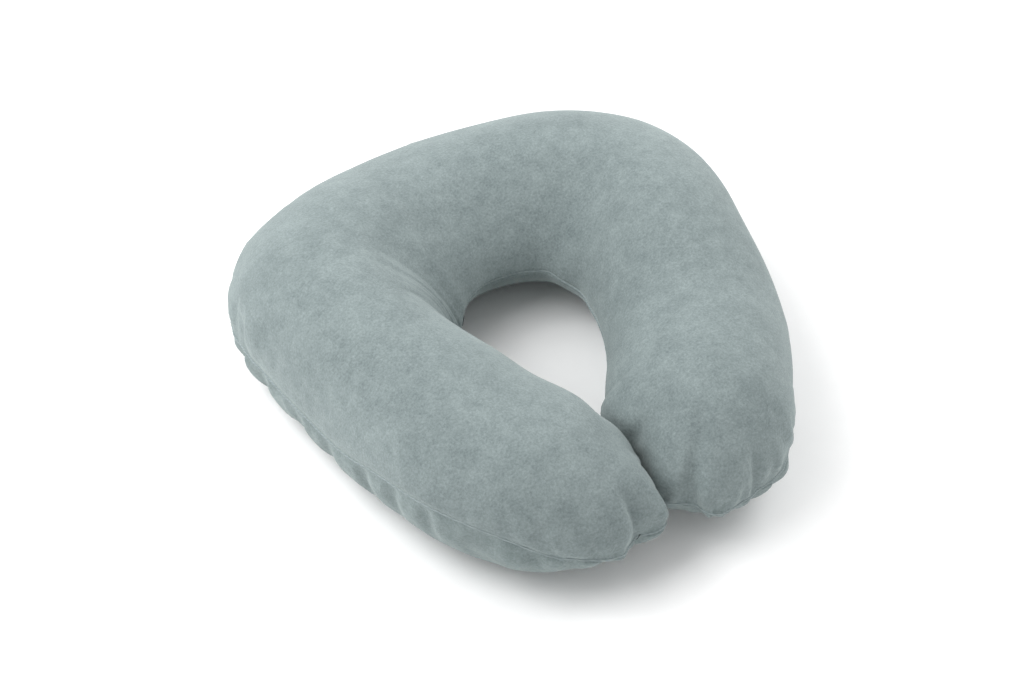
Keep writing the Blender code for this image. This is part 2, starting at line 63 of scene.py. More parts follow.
# %% Spine of half the pillow
BACK_RADIUS, BACK_SWEEP = 0.1375, math.radians(26.4)
CORNER_RADIUS, CORNER_SWEEP = 0.0670, math.radians(76.6)
ARM_LENGTH, ARM_BEND = 0.1985, 1.81441
BACK_AT = 0.10861
BACK_LENGTH = BACK_RADIUS * BACK_SWEEP
CORNER_LENGTH = CORNER_RADIUS * CORNER_SWEEP
SHOULDER_AT = BACK_LENGTH + CORNER_LENGTH
SPINE_LENGTH = SHOULDER_AT + ARM_LENGTH


def ease(value):
    """Smooth step from 0 to 1."""
    value = np.clip(value, 0.0, 1.0)
    return value * value * (3.0 - 2.0 * value)


def spine(distance):
    """Plan point and heading at distances from the middle of the back."""
    first = np.minimum(distance / BACK_RADIUS, BACK_SWEEP)
    heading = first + np.clip((distance - BACK_LENGTH) / CORNER_RADIUS, 0.0, CORNER_SWEEP)
    x = BACK_RADIUS * np.sin(first) + CORNER_RADIUS * (np.sin(heading) - np.sin(first))
    y = BACK_RADIUS * (np.cos(first) - 1.0) + CORNER_RADIUS * (np.cos(heading) - np.cos(first))
    along = np.maximum(distance - SHOULDER_AT, 0.0)
    half_turn = 0.5 * ARM_BEND * along
    chord = along * np.sinc(half_turn / math.pi)
    x = x + chord * np.cos(heading + half_turn)
    y = y - chord * np.sin(heading + half_turn)
    return x, y + BACK_AT, heading + ARM_BEND * along


print("spine:", round(2.0 * SPINE_LENGTH, 4), "m from tip to tip")

# %% [markdown]
# ## The section
# Across the spine the stuffing makes a soft oval. The seam runs round it at about a third of
# its height, the upper panel domes over it, and the lower panel is pressed flat by the floor.
# Width and height change along the spine: the pillow is tallest at the shoulders, and its
# outer edge stands out a little at the back corners. The inner edge rounds the neck hole off
# at the back and stands out again where the arms meet, so that the hole is a rounded drop. The
# inner half of each section points along the spine's mean direction, so that the sections do
# not crowd at the corner. Towards the neck the upper panel slopes more evenly than an oval, most
# of all at the back. The stuffing is a little fuller at the left corner of the hole, and like
# any stuffing it is uneven: some stretches are fuller or leaner than the even shape.

# %% Widths and heights along the spine
TIP_LENGTH = 0.0752
TIP_AT = SPINE_LENGTH - TIP_LENGTH
CORNER_BULGE, CORNER_BULGE_AT, CORNER_BULGE_REACH = 0.0076, 0.0283, 0.0410
NECK_FILL, NECK_FILL_AT, NECK_FILL_REACH = 0.0089, 0.0554, 0.0423
LEFT_FILL, LEFT_FILL_AT, LEFT_FILL_REACH, LEFT_FILL_START = 0.0075, 0.0950, 0.0650, 0.0300
ARM_FILL, ARM_FILL_REACH = 0.0077, 0.0285
INNER_AVERAGE, INNER_FADE, SPLIT_AT = 0.1500, 0.0762, 0.09329
SEAM_HEIGHT, TIP_LIFT = 0.0376, 0.0089
# Half widths and rise at the back, the shoulder, the middle of the arm and the tip.
OUTER_WIDTHS = (0.0585, 0.0477, 0.0518, 0.0467)
INNER_WIDTHS = (0.0579, 0.0462, 0.0499, 0.0467)
RISES = (0.0522, 0.0667, 0.0467, 0.0451)
# Fullness of the section: 1 makes an oval, less is fuller and more is leaner.
UPPER_POWER, LOWER_POWER, LOWER_INNER_POWER, FLOOR_PRESS = 0.976, 0.914, 1.300, 1.06


def along_spine(distance, back, shoulder, arm, tip):
    """Blend values given at the back, the shoulder, the middle of the arm and the tip."""
    last = SPINE_LENGTH - 0.5 * TIP_LENGTH
    middle = 0.5 * (SHOULDER_AT + last)
    value = back + (shoulder - back) * ease((distance - BACK_LENGTH) / CORNER_LENGTH)
    value = value + (arm - shoulder) * ease((distance - SHOULDER_AT) / (middle - SHOULDER_AT))
    return value + (tip - arm) * ease((distance - middle) / (last - middle))


def bump(place, middle, reach):
    """Smooth hump of height 1."""
    return np.exp(-((place - middle) / reach) ** 2)


def mean_heading(distance):
    """Heading of the spine averaged over a distance to either side."""
    share = np.linspace(-1.0, 1.0, 33)
    weight = 1.0 + np.cos(math.pi * share)
    place = distance[..., None] + INNER_AVERAGE * share
    turn = np.sign(place) * spine(np.abs(place))[2]
    return turn @ weight / weight.sum()


def inner_heading(distance):
    """Heading that the inner half of a section stands square to."""
    heading = spine(distance)[2]
    at_split = np.array([SPLIT_AT])
    mean = mean_heading(distance) + (spine(at_split)[2] - mean_heading(at_split)) * ease(distance / SPLIT_AT)
    fade = ease((distance - TIP_AT + INNER_FADE) / INNER_FADE)
    return mean * (1.0 - fade) + heading * fade


# What is added to each size, in millimetres, every 32 mm along the spine.
UNEVEN_STEP, UNEVEN_REACH = 0.0320, 0.0260
UNEVEN = {
    ("outer", "left"): (-1.9, -0.6, 2.2, 4.2, -4.7, -1.6, 0.8, 2.5, 5.7, 3.0, -0.1),
    ("outer", "right"): (-1.9, -1.1, 0.9, -0.5, -0.8, -0.6, 1.0, 0.0, -1.1, -2.0, 2.2),
    ("inner", "left"): (0.0, 0.0, 2.1, 1.0, 0.4, 0.4, 2.0, -1.7, -6.1, -4.4, -0.3),
    ("inner", "right"): (0.0, -1.0, -1.1, 1.5, 2.1, 3.9, 1.3, 0.2, 0.6, -1.2, 2.6),
    ("rise", "left"): (-5.8, -5.0, 2.0, 0.5, -4.0, -6.5, -0.5, 7.0, 1.3, 0.1, -3.8, -3.0),
    ("rise", "right"): (-5.8, -3.2, 3.9, 1.3, -1.4, -2.3, 0.1, 1.2, 0.3, 1.0, 0.0, -3.0),
    ("seam", "left"): (0.0, 0.0, 0.2, -10.1, -1.4, -2.3, -1.0, 7.3, 7.3, 4.5, -5.0, -10.0),
    ("seam", "right"): (0.0, 0.0, 2.3, -0.2, -1.2, -1.6, -0.1, 0.7, 0.4, -2.0, -8.0, -10.0),
}
ZIP_END, ZIP_FADE = 0.0560, 0.0300


def uneven(distance, kind, side):
    """How much fuller or leaner one side is than the even shape."""
    amounts = UNEVEN[kind, side]
    added = sum(0.001 * amount * bump(distance, index * UNEVEN_STEP, UNEVEN_REACH)
                for index, amount in enumerate(amounts))
    return added * ease((distance - ZIP_END) / ZIP_FADE) if kind in ("outer", "seam") else added


def section(distance, side):
    """Outer and inner half width, rise of the upper panel and height of the seam."""
    outer = along_spine(distance, *OUTER_WIDTHS)
    bulge = CORNER_BULGE * ease((distance - BACK_LENGTH) / CORNER_BULGE_REACH)
    outer = outer + bulge * bump(distance, BACK_LENGTH + CORNER_BULGE_AT, CORNER_BULGE_REACH)
    inner = along_spine(distance, *INNER_WIDTHS)
    inner = inner + NECK_FILL * bump(distance, BACK_LENGTH + NECK_FILL_AT, NECK_FILL_REACH)
    inner = inner + ARM_FILL * bump(distance, TIP_AT, ARM_FILL_REACH)
    if side == "left":
        fill = LEFT_FILL * bump(distance, LEFT_FILL_AT, LEFT_FILL_REACH)
        inner = inner + fill * ease(distance / LEFT_FILL_START)
    rise = along_spine(distance, *RISES)
    seam = SEAM_HEIGHT + TIP_LIFT * ease((distance - SHOULDER_AT) / ARM_LENGTH)
    higher = uneven(distance, "seam", side)
    return (outer + uneven(distance, "outer", side), inner + uneven(distance, "inner", side),
            rise + uneven(distance, "rise", side) - higher, seam + higher)


print("arm is", round(2000.0 * float(section(TIP_AT, "right")[0])), "mm wide")

# %% [markdown]
# ## A grid on each panel
# Each panel could be a fan of triangles that meet at the tip, but a fan pinches there and
# cloth shows every pinch. So the grid's rows run across the arm and, in the rounded end, a
# square grid is bent onto a half disc. All faces stay four sided and no two edges run
# together. Along the zip in the back the first column stands back from the seam line. Under the
# tips the lower panel turns in sooner than elsewhere, so that the seam is the outermost line.

# %% Grid of one panel
BODY_ROWS, TIP_ROWS, COLUMNS = 150, 48, 80
MEAN_HALF_WIDTH = 0.055
SEAM_CROWDING = 0.55
ZIP_RADIUS = 0.1960
ZIP_HALF_LENGTH, ZIP_END_TAPER, ZIP_OPENING = 0.0780, 0.0060, 0.0049
SEAM_TO_SPINE = BACK_RADIUS / ZIP_RADIUS


def zip_edge(distance, panel):
    """Angle at which a panel's edge stands back from the middle of the zip."""
    _, _, rise, seam = section(distance, "right")
    size, power = (rise, UPPER_POWER) if panel == "upper" else (seam * FLOOR_PRESS, LOWER_POWER)
    height = ZIP_OPENING * (1.0 - ease((distance / SEAM_TO_SPINE - ZIP_HALF_LENGTH) / ZIP_END_TAPER))
    return np.arcsin((height / size) ** (1.0 / power))


def row_distances():
    """Distances of the body rows, closer together where the outer seam is long."""
    fine = np.linspace(0.0, TIP_AT, 2000)
    _, _, heading = spine(fine)
    stretch = 1.0 + 0.5 * MEAN_HALF_WIDTH * np.gradient(heading, fine)
    length = np.concatenate([[0.0], np.cumsum(0.5 * (stretch[1:] + stretch[:-1]) * np.diff(fine))])
    return np.interp(np.linspace(0.0, length[-1], BODY_ROWS + 1), length, fine)


def half_grid(panel, zip_open):
    """Distance along the spine, and place along and across the rounded end, of each grid point."""
    body = row_distances()
    step = np.linspace(0.0, 1.0, COLUMNS + 1)
    step -= SEAM_CROWDING * np.sin(2.0 * math.pi * step) / (2.0 * math.pi)
    edge = zip_edge(body, panel)[:, None] * (1.0 if zip_open else 0.0)
    across = np.cos(edge + (math.pi - edge) * step)
    tip_step = np.linspace(0.0, 1.0, TIP_ROWS + 1)[1:, None]
    reach = np.sin(0.5 * math.pi * (tip_step + SEAM_CROWDING * np.sin(math.pi * tip_step) / math.pi))
    square = np.cos(math.pi * step)[None]
    tip_along = reach * np.sqrt(1.0 - 0.5 * square * square)
    tip_across = square * np.sqrt(1.0 - 0.5 * reach * reach)
    distance = np.concatenate([np.repeat(body[:, None], len(step), 1), TIP_AT + TIP_LENGTH * tip_along])
    return distance, np.concatenate([np.zeros_like(across), tip_along]), np.concatenate([across, tip_across])


def whole(right, left):
    """Join the grids of both halves into one that runs from the left tip to the right tip."""
    return np.concatenate([left[:0:-1], right])


# The rounded ends are not quite round: what share is added to the reach at some turns round the end.
TIP_TURNS, TIP_TURN_REACH = (30, 50, 70, 90, 105, 120, 135, 150, 165), 15.0
TIP_SHAPE = {"left": (0.022, -0.020, -0.010, -0.110, 0.145, -0.030, 0.000, 0.040, 0.0),
             "right": (0.007, -0.070, -0.060, 0.030, -0.100, 0.090, -0.020, -0.060, 0.150)}


def tip_stretch(along, across, side):
    """Factor by which the rounded end reaches further at some turns, more towards its edge."""
    turn = 0.5 * math.pi - np.arctan2(across, np.maximum(along, 1e-9))
    reach = sum(amount * bump(turn, math.radians(at), math.radians(TIP_TURN_REACH))
                for at, amount in zip(TIP_TURNS, TIP_SHAPE[side]))
    return 1.0 + reach * (along * along + across * across) * (along > 1e-9)


# The upper panel's slope towards the neck, and where it changes from the back's to the arm's.
BACK_SLOPE, ARM_SLOPE, OUTER_FULLNESS = 0.34, 0.10, 0.09
SLOPE_FROM, SLOPE_FADE, SLOPE_SHARE = 0.0850, 0.0600, 0.5
# The lower panel under the tips.
TIP_POWER, TIP_LEAN, TIP_FROM, TIP_FADE = 1.35, 1.8, 0.2, 0.6


def half_panel(panel, zip_open, side, depth=0.0):
    """Points of one half of a panel, or of a layer at a depth below it, as if it were the right half."""
    distance, along, across = half_grid(panel, zip_open)
    stretch = tip_stretch(along, across, side)
    distance = distance + (TIP_LENGTH * (stretch - 1.0) - depth) * along
    outer, inner, rise, seam = section(distance, side)
    outer, inner, rise, drop = outer - depth, inner - depth, rise - depth, seam * FLOOR_PRESS - depth
    x, y, heading = spine(distance)
    heading = np.where(across > 0.0, heading, inner_heading(distance))
    shrink = np.sqrt(np.maximum(1.0 - along * along, 0.0))
    share = np.clip(np.abs(across) / np.maximum(shrink, 1e-9), 0.0, 1.0)
    if panel == "upper":
        onto_arm = ease((distance - SLOPE_FROM) / SLOPE_FADE)
        inward = BACK_SLOPE + (ARM_SLOPE - BACK_SLOPE) * onto_arm
        slope = np.where(across > 0.0, -OUTER_FULLNESS * onto_arm, inward)
        power = UPPER_POWER + slope * ease(share / SLOPE_SHARE) * (1.0 - along)
    else:
        power = np.where(across > 0.0, LOWER_POWER, LOWER_INNER_POWER)
        power = power + (TIP_POWER - power) * ease((along - TIP_FROM) / TIP_FADE)
    lift = shrink ** (1.0 if panel == "upper" else TIP_LEAN) * (1.0 - share * share) ** (0.5 * power)
    sideways = stretch * np.sign(across) * shrink * share ** power * np.where(across > 0.0, outer, inner)
    z = seam + rise * lift if panel == "upper" else np.maximum(seam - drop * lift, depth)
    return np.stack([x + sideways * np.sin(heading), y + sideways * np.cos(heading), z], -1)


def panel_grid(panel, zip_open=True):
    """Points of a whole panel, from the left tip to the right tip."""
    left = half_panel(panel, zip_open, "left") * (-1.0, 1.0, 1.0)
    return whole(half_panel(panel, zip_open, "right"), left)


PANELS = ("upper", "lower")
for panel in PANELS:
    points = panel_grid(panel)
    print(panel, "panel:", points.shape[0], "rows of", points.shape[1], "points, top at",
          round(float(points[..., 2].max()), 4))

# %% [markdown]
# ## Folds that a needle leaves
# Where a flat panel is eased round a tight curve, the spare cloth gathers at the seam in short
# folds that run in from it and fade out. They are strongest at the tips and at the back corners.
# A fan of finer creases runs in from the left corner of the neck hole, where the cloth is pulled.
# A place on the cloth is told by how far along the seam it lies and how far in from it, so each
# fold is a few numbers: where it starts, how deep and wide it is, how far it runs and its lean.

# %% Places along the seam
TIP_ARC = 0.058
SECTION_ARC = 0.050
INNER_AT = TIP_AT + math.pi * TIP_ARC


def seam_places(panel, zip_open=True):
    """Seam place and way in from the seam for each point of a whole panel, in metres."""
    distance, along, across = half_grid(panel, zip_open)
    turn = 0.5 * math.pi - np.arctan2(across, np.maximum(along, 1e-9))
    place = np.where(across > 0.0, distance, INNER_AT + TIP_AT - distance)
    place = np.where(along > 1e-9, TIP_AT + TIP_ARC * turn, place)
    way_in = SECTION_ARC * np.arccos(np.clip(np.hypot(along, across), 0.0, 1.0))
    return whole(place, place), whole(way_in, way_in)


# Each fold: place along the seam, depth, width and reach in millimetres, and lean.
FOLDS = {
    ("upper", "left"): [
        (86, 1.6, 7, 26, 0.2), (94, 2.6, 6, 30, 0.1), (102, 2.2, 5, 24, 0.0), (110, 2.8, 6, 28, -0.1),
        (118, 1.8, 6, 24, -0.2), (331, 1.4, 7, 30, 0.1), (342, 2.2, 7, 42, 0.0), (352, 1.2, 5, 30, -0.1),
        (362, 2.4, 7, 40, 0.1), (376, 1.6, 7, 30, 0.0), (392, 1.6, 8, 30, 0.0), (597, 0.7, 6, 54, 0.1),
        (607, 1.0, 6, 66, 0.1), (618, 1.1, 5, 70, 0.0), (627, 0.7, 5, 56, 0.0), (639, 1.0, 7, 66, -0.1)],
    ("upper", "right"): [
        (92, 1.4, 7, 24, 0.1), (104, 1.8, 6, 26, 0.0), (116, 1.4, 7, 24, -0.1), (309, 2.2, 7, 36, 0.1),
        (322, 1.2, 6, 24, 0.0), (334, 2.4, 7, 38, 0.1), (345, 1.2, 5, 22, 0.0), (357, 1.8, 4, 24, 0.0),
        (364, 2.0, 4, 26, 0.0), (384, 3.0, 8, 44, -0.1), (398, 1.4, 7, 26, 0.0)],
    ("lower", "left"): [
        (86, 2.2, 6, 26, 0.0), (95, 2.8, 6, 30, 0.0), (104, 2.6, 6, 26, 0.0), (113, 2.6, 6, 26, 0.0),
        (128, 1.6, 7, 24, 0.0), (150, 1.2, 8, 24, 0.0), (178, 1.2, 8, 24, 0.0), (209, 1.8, 7, 26, 0.1),
        (232, 2.4, 7, 28, 0.0), (254, 1.6, 6, 24, 0.1), (284, 2.6, 7, 30, 0.0), (302, 1.8, 6, 24, 0.0),
        (318, 1.6, 7, 26, 0.0), (336, 1.2, 6, 28, 0.0), (352, 0.9, 6, 28, 0.0), (368, 1.2, 6, 28, 0.0),
        (386, 1.4, 7, 26, 0.0), (402, 1.6, 7, 24, 0.0)],
    ("lower", "right"): [
        (88, 2.0, 6, 26, 0.0), (98, 2.4, 6, 28, 0.0), (108, 2.2, 6, 26, 0.0), (119, 2.0, 7, 24, 0.0),
        (140, 1.4, 8, 24, 0.0), (168, 1.2, 8, 24, 0.0), (201, 1.6, 8, 26, 0.0), (236, 1.8, 7, 26, 0.0),
        (268, 1.8, 7, 26, 0.0), (296, 2.0, 7, 28, 0.0), (316, 2.2, 6, 28, 0.0), (334, 2.2, 6, 28, 0.0),
        (349, 2.6, 6, 28, 0.0), (363, 3.0, 6, 28, 0.0), (377, 2.6, 6, 28, 0.0), (392, 2.0, 7, 26, 0.0)],
}
# Way in over which a fold sets in, how soon it fades out, and the ridges that it throws up beside it.
FOLD_START, FOLD_FADE, FOLD_RIDGE = 0.004, 1.5, 0.9


def fold_depths(panel, zip_open=True):
    """How far each point of a panel is drawn in by the folds, in metres."""
    place, way_in = seam_places(panel, zip_open)
    depth = np.zeros_like(place)
    middle = len(place) // 2
    for side, rows in (("left", slice(0, middle + 1)), ("right", slice(middle, None))):
        for at, deep, wide, reach, lean in FOLDS[panel, side]:
            off = (place[rows] - 0.001 * at - lean * way_in[rows]) / (0.001 * wide)
            run = way_in[rows] / (0.001 * reach)
            fade = ease(way_in[rows] / FOLD_START) * np.exp(-FOLD_FADE * run * run)
            depth[rows] += 0.001 * deep * (1.0 - FOLD_RIDGE * off * off) * np.exp(-off * off) * fade
    return depth


for panel in PANELS:
    print(panel, "folds: deepest", round(1000.0 * float(fold_depths(panel).max()), 1), "mm")

# %% [markdown]
# ## Cloth over the stuffing
# Folds that are only drawn look drawn. So a closed copy of the stuffed cover is remeshed into
# even squares and run as cloth: the seam and the patch on the floor hold still, a little
# pressure stands for the foam, and the cloth near the seam is cut too large, more at the tips
# and the back corners. It has to buckle, as real cloth does. Only the small buckles are kept:
# the broad swelling is taken out again, because the measured shape is the right one.

# %% A closed shell to simulate
def grid_normals(points, panel):
    """Outward directions at the points of a whole panel."""
    normal = np.cross(np.gradient(points, axis=0), np.gradient(points, axis=1))
    normal *= -1.0 if panel == "upper" else 1.0
    for row, near in ((0, 1), (-1, -2)):
        for column, beside in ((0, 1), (-1, -2)):
            normal[row, column] = normal[near, beside]
    return normal / np.maximum(np.linalg.norm(normal, axis=-1, keepdims=True), 1e-12)


def folded(panel, zip_open=True):
    """Points of a whole panel with its folds drawn in, kept above the floor."""
    points = panel_grid(panel, zip_open)
    points = points - grid_normals(points, panel) * fold_depths(panel, zip_open)[..., None]
    points[..., 2] = np.maximum(points[..., 2], 0.0)
    return points


def grid_faces(rows, columns, flip, start=0):
    """Four sided faces of a grid of points."""
    table = start + np.arange(rows * columns).reshape(rows, columns)
    faces = np.stack([table[:-1, :-1], table[1:, :-1], table[1:, 1:], table[:-1, 1:]], -1).reshape(-1, 4)
    return faces[:, ::-1] if flip else faces


def new_object(name, points, faces):
    """Mesh object from arrays of points and four sided faces."""
    mesh = bpy.data.meshes.new(name)
    mesh.from_pydata(np.asarray(points).reshape(-1, 3).tolist(), [], faces.tolist())
    made = bpy.data.objects.new(name, mesh)
    bpy.context.scene.collection.objects.link(made)
    return made


def points_of(thing):
    """Points of an object as its modifiers leave them."""
    mesh = thing.evaluated_get(bpy.context.evaluated_depsgraph_get()).data
    found = np.empty(3 * len(mesh.vertices))
    mesh.vertices.foreach_get("co", found)
    return found.reshape(-1, 3)


VOXEL = 0.0036
ARMS_APART, APART_FROM, APART_FADE = 0.0060, 0.02, 0.10


def parted(points):
    """The arms moved apart, so that the cloth of one is not taken for the cloth of the other."""
    apart = ARMS_APART * np.sign(points[..., 0]) * ease((APART_FROM - points[..., 1]) / APART_FADE)
    return points + apart[..., None] * (1.0, 0.0, 0.0)


closed = [parted(folded(panel, False)) for panel in PANELS]
rows, columns = closed[0].shape[:2]
faces = [grid_faces(rows, columns, panel == "upper", index * rows * columns)
         for index, panel in enumerate(PANELS)]
shell = new_object("stuffed_shell", np.concatenate(closed), np.concatenate(faces))
weld = shell.modifiers.new("sewn edges", "WELD")
weld.merge_threshold = 1e-5
remesh = shell.modifiers.new("even squares", "REMESH")
remesh.mode, remesh.voxel_size = "VOXEL", VOXEL
even = bpy.data.meshes.new_from_object(shell.evaluated_get(bpy.context.evaluated_depsgraph_get()))
bpy.data.objects.remove(shell)
# Points that fall together would stop the cloth, so they are merged.
squares = bmesh.new()
squares.from_mesh(even)
bmesh.ops.remove_doubles(squares, verts=squares.verts, dist=0.2 * VOXEL)
squares.to_mesh(even)
squares.free()
cloth = bpy.data.objects.new("cloth", even)
bpy.context.scene.collection.objects.link(cloth)
print("cloth:", len(even.vertices), "points")

# %% Where the cloth is held and where it is slack
HELD_WIDTH, ON_FLOOR, SLACK_REACH = 0.003, 0.0012, 0.026
# Stretches of the seam with slack cloth: from, to and soft edge.
TIP_SLACK, CORNER_SLACK, NECK_SLACK = (0.30, 0.42, 0.03), (0.085, 0.120, 0.02), (0.600, 0.640, 0.02)
# Share of the tips' slack at the right back corner, along the edge of each panel and at the neck.
RIGHT_CORNER, UPPER_EDGE, LOWER_EDGE, NECK_CORNER = 0.6, 0.04, 0.55, 0.25
flat_points = np.concatenate([grid.reshape(-1, 3) for grid in closed])
places = [seam_places(panel, False) for panel in PANELS]
flat_place = np.concatenate([place.ravel() for place, _ in places])
flat_in = np.concatenate([way_in.ravel() for _, way_in in places])
flat_upper = np.repeat([True, False], rows * columns)


def tree_of(points):
    """Search tree for the nearest of some points."""
    tree = kdtree.KDTree(len(points))
    for index, point in enumerate(points):
        tree.insert(point, index)
    tree.balance()
    return tree


def hump(value, low, high, soft):
    """1 between low and high, fading to 0 over a soft edge."""
    return ease((value - low) / soft + 1.0) * ease((high - value) / soft + 1.0)


rest = points_of(cloth)
grid_tree = tree_of(flat_points)
nearest = np.array([grid_tree.find(point)[1] for point in rest])
place, way_in, is_upper = flat_place[nearest], flat_in[nearest], flat_upper[nearest]
on_left = rest[:, 0] < 0.0
held = np.clip(1.6 - way_in / HELD_WIDTH, 0.0, 1.0)
held = np.maximum(held, np.where(rest[:, 2] < ON_FLOOR, 1.0, 0.0))
slack = hump(place, *TIP_SLACK)
slack = np.maximum(slack, np.where(on_left, 1.0, RIGHT_CORNER) * hump(place, *CORNER_SLACK))
slack = np.maximum(slack, np.where(is_upper, UPPER_EDGE, LOWER_EDGE) * (place < TIP_AT))
slack = np.maximum(slack, np.where(on_left & is_upper, NECK_CORNER, 0.0) * hump(place, *NECK_SLACK))
slack *= np.exp(-(way_in / SLACK_REACH) ** 2)
for name, weights in (("held", held), ("snug", 1.0 - slack)):
    group = cloth.vertex_groups.new(name=name)
    for index in np.nonzero(weights > 0.01)[0]:
        group.add([int(index)], float(weights[index]), "REPLACE")
print("held:", int((held > 0.5).sum()), "slack:", int((slack > 0.1).sum()))

# %% Let the cloth buckle
CLOTH_FRAMES = 20
MOST_SLACK, FOAM_PRESSURE = 0.16, 4.0
LARGEST_BUCKLE, BROAD_ROUNDS = 0.005, 60
# Blender's cloth is tuned to things a few metres across, so it runs ten times life size.
ENLARGED = 10.0


def buckled():
    """How far each point of the cloth moves when it settles."""
    even.vertices.foreach_set("co", (ENLARGED * rest).ravel())
    even.update()
    made = cloth.modifiers.new("settle", "CLOTH")
    cut = made.settings
    cut.quality, cut.mass, cut.air_damping = 6, 0.15, 2.0
    cut.tension_stiffness, cut.compression_stiffness, cut.shear_stiffness = 20.0, 20.0, 6.0
    cut.bending_stiffness = 0.3
    cut.vertex_group_mass, cut.pin_stiffness = "held", 1.0
    cut.vertex_group_shrink, cut.shrink_min, cut.shrink_max = "snug", -MOST_SLACK, 0.0
    cut.use_pressure, cut.uniform_pressure_force = True, FOAM_PRESSURE
    cut.effector_weights.gravity = 0.0
    made.collision_settings.use_collision = False
    made.point_cache.frame_end = CLOTH_FRAMES
    scene = bpy.context.scene
    for number in range(1, CLOTH_FRAMES + 1):
        scene.frame_set(number)
    settled = points_of(cloth) / ENLARGED
    cloth.modifiers.remove(made)
    scene.frame_set(1)
    return settled - rest


def smoothed(values, edges, rounds):
    """Values on a mesh, averaged again and again with their neighbours."""
    count = np.bincount(edges.ravel(), minlength=len(values))[:, None]
    for _ in range(rounds):
        total = np.stack([np.bincount(edges[:, 0], values[edges[:, 1], axis], len(values))
                          + np.bincount(edges[:, 1], values[edges[:, 0], axis], len(values))
                          for axis in range(3)], -1)
        values = 0.5 * values + 0.5 * total / np.maximum(count, 1)
    return values


edges = np.empty(2 * len(even.edges), int)
even.edges.foreach_get("vertices", edges)
edges = edges.reshape(-1, 2)
moved = buckled()
buckle = moved - smoothed(moved, edges, BROAD_ROUNDS)
buckle = smoothed(buckle, edges, 1)
length = np.linalg.norm(buckle, axis=1, keepdims=True)
buckle *= LARGEST_BUCKLE * np.tanh(length / LARGEST_BUCKLE) / np.maximum(length, 1e-9)
bpy.data.objects.remove(cloth)
print("settled: moved up to", round(1000.0 * float(np.linalg.norm(moved, axis=1).max()), 1), "mm")
print("buckles: up to", round(1000.0 * float(length.max()), 1), "mm, typical",
      round(1000.0 * float(length.mean()), 2), "mm")

# %% [markdown]
# ## Two panels of velour
# The buckles are read from the simulated cloth onto the fine grid. Next to the seam both panels
# turn in a little, because the stitches pull them down. Each panel then gets its thickness, so
# that it is a closed sheet, and is cut at the middle of the back: the two arms swing on two
# joints, and a piece can bend across only one. The shading on either side of that cut is taken
# from the uncut panel, so it does not show.

# %% Points of each panel as worn
rest_tree = tree_of(rest)
CLOTH_THICKNESS = 0.0012
DEEPEST = 0.0034
STITCH_PULL, STITCH_REACH = 0.0009, 0.0024
FLOOR_CLEARANCE = 0.0002
NEAREST, CLOSEST = 4, 0.0005


def read_buckles(points):
    """Buckles of the simulated cloth at other points, from the nearest of its own."""
    found = np.zeros_like(points)
    for index, point in enumerate(points):
        near = rest_tree.find_n(point, NEAREST)
        weight = np.array([1.0 / (gap + CLOSEST) ** 2 for _, _, gap in near])
        found[index] = weight @ buckle[[number for _, number, _ in near]] / weight.sum()
    return found


def level_out(normal):
    """Level part of some outward directions."""
    level = normal * (1.0, 1.0, 0.0)
    return level / np.maximum(np.linalg.norm(level, axis=-1, keepdims=True), 1e-9)


def worn(panel):
    """Points of a whole panel with its folds, buckles and the pull of the seam."""
    plain = panel_grid(panel)
    normal = grid_normals(plain, panel)
    shift = folded(panel) - plain + read_buckles(parted(plain).reshape(-1, 3)).reshape(plain.shape)
    height = (shift * normal).sum(-1, keepdims=True)
    limited = np.where(height < 0.0, -DEEPEST * np.tanh(-height / DEEPEST), height)
    points = plain + shift + normal * (limited - height)
    _, way_in = seam_places(panel, False)
    pull = STITCH_PULL * np.exp(-(way_in / STITCH_REACH) ** 2)
    points = points - level_out(normal) * pull[..., None]
    points[..., 2] = np.maximum(points[..., 2], FLOOR_CLEARANCE)
    return points


cloth_points = {panel: worn(panel) for panel in PANELS}
middle = rows // 2
# Sewn edges are one line: the lower panel takes the upper one's points there.
sewn = np.abs(np.arange(rows) - middle) >= np.searchsorted(
    row_distances(), (ZIP_HALF_LENGTH + ZIP_END_TAPER) * SEAM_TO_SPINE)
top, bottom = cloth_points["upper"], cloth_points["lower"]
bottom[sewn, 0], bottom[:, -1] = top[sewn, 0], top[:, -1]
bottom[0], bottom[-1] = top[0], top[-1]
print("worn panels reach from", np.round(np.minimum(*[g.min((0, 1)) for g in (top, bottom)]), 4),
      "to", np.round(np.maximum(*[g.max((0, 1)) for g in (top, bottom)]), 4))

# %% Cut each panel and give it thickness
SIDES = {"left": slice(0, middle + 1), "right": slice(middle, None)}


def sheet_faces(rows, columns, flip):
    """Faces of a closed sheet: the outer grid, the inner grid and the rim between them."""
    count = rows * columns
    outer = grid_faces(rows, columns, flip)
    table = np.arange(count).reshape(rows, columns)
    loop = np.concatenate([table[0, :-1], table[:-1, -1], table[-1, :0:-1], table[:0:-1, 0]])
    following = np.roll(loop, -1)
    rim = np.stack([loop, following, following + count, loop + count], -1)
    return np.concatenate([outer, outer[:, ::-1] + count, rim[:, ::-1] if flip else rim])


def panel_piece(panel, side):
    """One half of a panel as a closed sheet with smooth shading."""
    normal = grid_normals(cloth_points[panel], panel)
    outside = cloth_points[panel][SIDES[side]]
    inside = outside - CLOTH_THICKNESS * normal[SIDES[side]]
    points = np.concatenate([outside.reshape(-1, 3), inside.reshape(-1, 3)])
    made = new_object(f"cover_{panel}_{side}", points, sheet_faces(*outside.shape[:2], panel == "upper"))
    made.data.shade_smooth()
    facing = np.concatenate([normal[SIDES[side]].reshape(-1, 3), -normal[SIDES[side]].reshape(-1, 3)])
    made.data.normals_split_custom_set_from_vertices(facing.tolist())
    stay = made.data.attributes.new("cloth_place", "FLOAT_VECTOR", "POINT")
    stay.data.foreach_set("vector", points.astype(np.float32).ravel())
    return made


